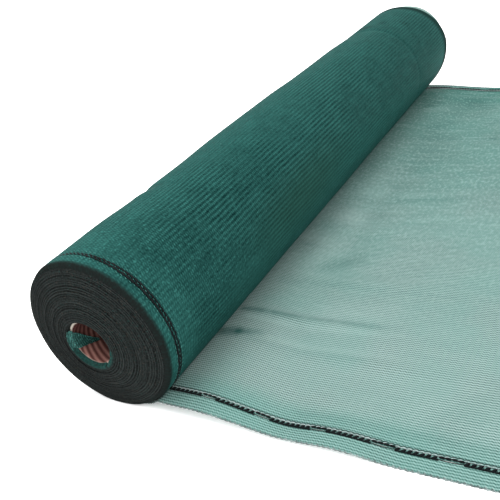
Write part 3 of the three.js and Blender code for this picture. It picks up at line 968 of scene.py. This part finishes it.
# Painted shade and painted light of the loose end, on its soft creases and beside the roll: reach and
# distance from the near edge at the start and at the end, half width, and how much darker, or paler if
# negative
SHADES = (
    (60, 126, 88, 133, 9, 0.9),
    (82, 131, 114, 141, 6, 0.6),
    (60, 176, 100, 179, 4.5, 0.75),
    (100, 179, 145, 184, 4.5, 0.6),
    (145, 184, 185, 188, 4.2, 0.35),
    (185, 187, 250, 188, 4.0, 0.3),
    (72, 163, 150, 170, 5, -0.25),
    (150, 170, 250, 178, 5, -0.2),
    (100, 122, 300, 132, 4, 0.15),
    (95, 135, 300, 141, 5, -0.15),
    (118, 296, 170, 340, 12, 0.3),
    (70, 332, 92, 334, 14, 0.25),
    (80, 250, 190, 268, 8, 0.12),
    (70, 397, 120, 395, 22, 0.2),
    (90, 450, 155, 448, 30, 0.15),
    (70, 482, 150, 492, 6, 0.25),
    (150, 492, 290, 503, 6, 0.25),
    (70, 500, 150, 512, 7, -0.1),
    (150, 512, 280, 523, 7, -0.1),
    (98, 430, 98, 230, 24, -0.25),
    (98, 430, 96, 760, 24, -0.28),
    (115, 620, 175, 690, 45, 0.2),
    (125, 725, 162, 752, 28, 0.22),
    (122, 775, 155, 825, 14, 0.35),
    (92, 855, 135, 880, 12, -0.3),
    (84, 880, 108, 908, 10, 0.4),
    (165, 902, 215, 878, 14, 0.35),
    (150, 930, 215, 890, 24, 0.3),
    (232, 732, 250, 720, 3, 0.7),
    (160, 205, 260, 212, 18, -0.12),
    (200, 38, 437, 43, 5, 0.14),
    (340, 60, 400, 150, 20, 0.12),
)


def shade_of(reach, across):
    """How much painted shade, or painted light if negative, the netting gets at a place of the loose end.
    """
    total = np.zeros(reach.shape)
    for x0, y0, x1, y1, half_width, depth in SHADES:
        length_squared = (x1 - x0) ** 2 + (y1 - y0) ** 2
        share = np.clip(((reach - x0) * (x1 - x0) + (across - y0) * (y1 - y0)) / length_squared, 0, 1)
        off = np.hypot(reach - x0 - share * (x1 - x0), across - y0 - share * (y1 - y0))
        total = total + depth * hump(off, half_width * 1.8) * (1 - 0.85 * smooth(share, 0.55, 1))
    return total


# How much darker the netting looks farther along the roll, where it is denser
DEEP_ALONG = (0.0, 0.1, 0.25, 0.42, 0.6, 0.8, 0.95, 1.0)
DEEP_SHARE = (0.0, 0.0, 0.15, 0.22, 0.50, 0.65, 0.92, 0.95)


def add_looks(piece, reach, across):
    """Numbers that the sheer material reads: its two bands, how dense it looks, and its painted shade and
    light.
    """
    near_band = 1 - smooth(across, 30, 62)
    far_band = 0.8 * smooth(across, 925, 950)
    add_number(piece, "band", np.maximum(near_band, far_band))
    add_number(piece, "deep", eased(across / NET_WIDTH, DEEP_ALONG, DEEP_SHARE))
    add_number(piece, "shade", shade_of(reach, across))


# Where the loose end comes out from under the roll
FLOOR_START = 21.2


def net_piece(name, points, places, faces):
    """A mesh of the loose end; places gives each point's reach and its distance from the near edge."""
    piece = new_object(name, points, faces.tolist())
    add_map(piece, "Cloth", places * MM)
    low = places.min(axis=0)
    high = places.max(axis=0)
    add_map(piece, "OFBake", (places - low) / (high - low))
    add_looks(piece, places[:, 0], places[:, 1])
    return piece


def loose_sheet():
    """The loose end between its two selvedge strips."""
    reaches = np.concatenate([np.arange(FLOOR_START, 120, 2.0), np.linspace(120, LOOSE_REACH, 100)])
    acrosses = np.linspace(NEAR_STRIP, NET_WIDTH - FAR_STRIP, 400)
    reach, across = np.meshgrid(reaches, acrosses, indexing="ij")
    points = loose_point(reach, across).reshape(-1, 3)
    places = np.stack([reach, across], axis=-1).reshape(-1, 2)
    piece = net_piece("loose_sheet", points, places, grid_faces(*reach.shape))
    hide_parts("loose_net")
    finish_piece(piece, sheer_material("sheer_net"))


STRIP_STEP = 2.2


def slotted_reaches():
    """Distances along the reach whose columns fall on the ends of each buttonhole."""
    stops = [FLOOR_START]
    for i in range(HOLE_COUNT):
        middle = HOLE_FIRST + i * HOLE_PITCH
        stops += [middle - HOLE_LENGTH / 2, middle + HOLE_LENGTH / 2]
    stops.append(LOOSE_REACH)
    reaches = []
    for a, b in zip(stops[:-1], stops[1:]):
        count = max(int((b - a) / STRIP_STEP), 4)
        reaches += list(np.linspace(a, b, count, endpoint=False))
    reaches.append(LOOSE_REACH)
    return np.array(reaches)


def strip_piece(name, start, end, line, replaced):
    """A selvedge strip whose rows part round each buttonhole."""
    reaches = slotted_reaches()
    half = HOLE_WIDTH / 2
    low_rows = np.linspace(start, line, 12)
    high_rows = np.linspace(line, end, 8)
    opening = np.zeros(len(reaches))
    for i in range(HOLE_COUNT):
        off = (reaches - HOLE_FIRST - i * HOLE_PITCH) / (HOLE_LENGTH / 2)
        inside = np.abs(off) < 1 - 1e-6
        opening[inside] = 1 - np.abs(off[inside]) ** 3
    points = []
    places = []
    faces = []
    base = 0
    for rows, sign, side in ((low_rows, -1, start), (high_rows, 1, end)):
        share = np.abs(rows - side) / abs(line - side)
        across = rows[None, :] + sign * half * opening[:, None] * share[None, :] ** 2
        reach = np.broadcast_to(reaches[:, None], across.shape)
        points.append(loose_point(reach, across).reshape(-1, 3))
        places.append(np.stack([reach, across], axis=-1).reshape(-1, 2))
        faces.append(grid_faces(*across.shape) + base)
        base += across.size
    piece = net_piece(name, np.concatenate(points), np.concatenate(places), np.concatenate(faces))
    # The two halves meet between the buttonholes
    mesh = bmesh.new()
    mesh.from_mesh(piece.data)
    bmesh.ops.remove_doubles(mesh, verts=mesh.verts, dist=1e-6)
    mesh.to_mesh(piece.data)
    mesh.free()
    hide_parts(replaced)
    finish_piece(piece, EDGE_NET)


loose_sheet()
EDGE_NET = sheer_material("selvedge_net")
strip_piece("near_strip", 0, NEAR_STRIP, NEAR_LINE, "near_selvedge")
strip_piece("far_strip", NET_WIDTH - FAR_STRIP, NET_WIDTH, NET_WIDTH - FAR_LINE, "far_selvedge")


# Black stitched lines and looped edges

BLACK = thread_material("black_thread", (0.0008, 0.0016, 0.002), (0.004, 0.006, 0.0065), 0.06)
PALE = thread_material("pale_thread", (0.13, 0.18, 0.175), (0.30, 0.345, 0.345))
PICOT = thread_material("edge_loops", (0.03, 0.045, 0.043), (0.19, 0.235, 0.23))
ROLL_PALE = thread_material("pale_stitch", (0.010, 0.055, 0.048), (0.04, 0.14, 0.122))


def in_buttonhole(reach):
    """Whether a place on a black line is beside a buttonhole."""
    off = (reach - HOLE_FIRST) % HOLE_PITCH
    off = min(off, HOLE_PITCH - off)
    return off < HOLE_LENGTH / 2


def stitched_lines(name, line, toward):
    """The black line on the loose end; toward is 1 if the middle of the netting is at greater across."""
    black = Strands()
    pale = Strands()

    def along_net(reaches, offs, lift):
        return loose_point(reaches, line + toward * offs, SHEET_MIDDLE + lift)

    reach = FLOOR_START + 2
    while reach < LOOSE_REACH - 5:
        wobble = rng.normal(0, 0.15)
        part = np.linspace(0, 1, 7)
        taper = np.sin(part * 2.6 + 0.27)
        if in_buttonhole(reach + 2.6):
            # Beside a buttonhole the stitches lie in line along its inner side
            bend = 1.9 + wobble + 0.3 * np.sin(part * np.pi)
            black.add(along_net(reach + 5.6 * part, bend, 0.9), 0.95 * taper + 0.25, sides=7)
        else:
            offs = -1.5 + 3.7 * part ** 1.2 + wobble
            black.add(along_net(reach + 4.4 * part, offs, 1.2), 1.35 * taper + 0.05, sides=7)
            black.add(along_net(reach + 5.8 * part, -1.2, 0.6), 0.75, sides=6)
        scallop = np.sin(part * 2 * np.pi)
        pale.add(along_net(reach + REPEAT * part, 3.5 + 0.5 * scallop, 0.5), 0.5)
        black.add(along_net(reach + REPEAT * part, 5.6 + 0.3 * scallop, 0.3), 0.3)
        reach += REPEAT
    # The outer lip of each buttonhole is a thin dark thread
    for i in range(HOLE_COUNT):
        middle = HOLE_FIRST + i * HOLE_PITCH
        places = np.linspace(middle - HOLE_LENGTH / 2 - 2, middle + HOLE_LENGTH / 2 + 2, 14)
        offs = -0.9 * hump(places - middle, HOLE_LENGTH / 2 + 6) - 0.1
        black.add(along_net(places, offs, 0.4), 0.36)
    finish_piece(black.make(f"{name}_black"), BLACK)
    finish_piece(pale.make(f"{name}_pale"), PALE)


stitched_lines("near_line", NEAR_LINE, 1)
stitched_lines("far_line", NET_WIDTH - FAR_LINE, -1)


def looped_edge(name, edge, outward):
    """Small loops of thread along a free edge of the loose end."""
    loops = Strands()
    reach = FLOOR_START
    while reach < LOOSE_REACH - 3:
        part = np.linspace(0, 1, 7)
        places = reach + REPEAT * part
        offs = outward * (0.5 * np.sin(part * np.pi) - 0.1)
        loops.add(loose_point(places, edge + offs, 0.8), 0.45 + 0.2 * np.sin(part * np.pi))
        cross = np.linspace(0, 1, 4)
        ties = loose_point(reach + 0.5 + 2.6 * cross, edge - outward * 1.6 * (1 - cross), 0.95)
        loops.add(ties, 0.4)
        reach += REPEAT
    finish_piece(loops.make(name), PICOT)


looped_edge("near_edge_loops", 0.0, -1)
looped_edge("far_edge_loops", float(NET_WIDTH), 1)


# The black line on the roll: distance from the near end, the angles between which it shows, rows of
# black stitches with their radii, and rows of pale ones
ROLL_LINE = 18.6
STITCHES_START = -66.0
STITCHES_END = 250
BLACK_ROWS = ((-1.4, 1.7), (2.2, 1.6))
PALE_ROWS = (-4.2, 0.7, 5.2)


def roll_stitches():
    """The near black line where it shows on the roll's outer turn."""
    black = Strands()
    pale = Strands()
    pitch = REPEAT / ROLL_RADIUS * 180 / np.pi

    def on_roll(degrees, offs, lift):
        y = NEAR_END + ROLL_LINE + offs
        along = np.clip((y - NEAR_END) / NET_WIDTH, 0, 1)
        radius = wound_radius(along, degrees) + lift
        grow = eased(along, GIRTH_ALONG, GIRTH_GROW)
        return roll_point(radius, degrees, y, grow)

    def outward(degrees):
        angle = np.radians(degrees)
        return np.stack([np.cos(angle), np.zeros_like(angle), np.sin(angle)], axis=-1)

    degrees = STITCHES_START
    while degrees < STITCHES_END:
        wobble = rng.normal(0, 0.2)
        thick = 0.55 + 0.45 * float(smooth(degrees, 95, 50))
        for row, radius in BLACK_ROWS:
            part = np.linspace(0, 1, 6)
            turn = degrees + pitch * (1.15 * part + row * 0.15)
            offs = row * thick - 0.7 + 1.6 * part + wobble
            size = radius * thick * rng.uniform(0.75, 1.1)
            taper = np.sin(part * 2.6 + 0.27)
            black.add(on_roll(turn, offs, 0.35), size * taper, outward(turn), 6, 0.45)
        for row in PALE_ROWS:
            part = np.linspace(0, 1, 4)
            turn = degrees + pitch * (0.3 + 0.4 * part)
            pale.add(on_roll(turn, row + 0.6 * part + wobble, 0.3), 0.4, outward(turn), 5, 0.7)
        degrees += pitch
    finish_piece(black.make("roll_near_line_black"), BLACK)
    finish_piece(pale.make("roll_near_line_pale"), ROLL_PALE)


roll_stitches()


# Floor and light

FLOOR_COLORS = ((0.93, 0.93, 0.93), (0.95, 0.95, 0.95))
# The floor glows a little, so that it stays as white as the photograph's background
FLOOR_GLOW = 0.15
FLOOR_HALF_SIDE = 30
WORLD_STRENGTH = 1.7
# Lamps: name, place, side and power
LAMPS = (
    ("key", (-0.35, -0.45, 2.65), 2.0, 78.0),
    ("fill", (1.9, -1.2, 1.8), 1.8, 34.0),
)
LAMP_TARGET = (0.1, 0, 0)


def studio():
    n = Nodes("floor")
    grain = n.noise(n.place(), 3.0)
    material = n.surface(n.mix(grain, *FLOOR_COLORS), 0.9, 0.1, glow=FLOOR_GLOW)
    side = FLOOR_HALF_SIDE
    corners = [(-side, -side, 0), (side, -side, 0), (side, side, 0), (-side, side, 0)]
    mesh = bpy.data.meshes.new("floor")
    mesh.from_pydata(corners, [], [(0, 1, 2, 3)])
    floor = bpy.data.objects.new("floor", mesh)
    floor.data.materials.append(material)
    bpy.context.collection.objects.link(floor)

    world = bpy.data.worlds.new("studio")
    world.use_nodes = True
    background = world.node_tree.nodes["Background"]
    background.inputs["Color"].default_value = (1.0, 1.0, 1.0, 1.0)
    background.inputs["Strength"].default_value = WORLD_STRENGTH
    bpy.context.scene.world = world

    for name, place, size, power in LAMPS:
        data = bpy.data.lights.new(name, "AREA")
        data.shape = "SQUARE"
        data.size = size
        data.energy = power
        lamp = bpy.data.objects.new(name, data)
        lamp.location = place
        toward = Vector(LAMP_TARGET) - Vector(place)
        lamp.rotation_euler = toward.to_track_quat("-Z", "Y").to_euler()
        bpy.context.collection.objects.link(lamp)
    bpy.context.scene.view_settings.view_transform = "Standard"


studio()
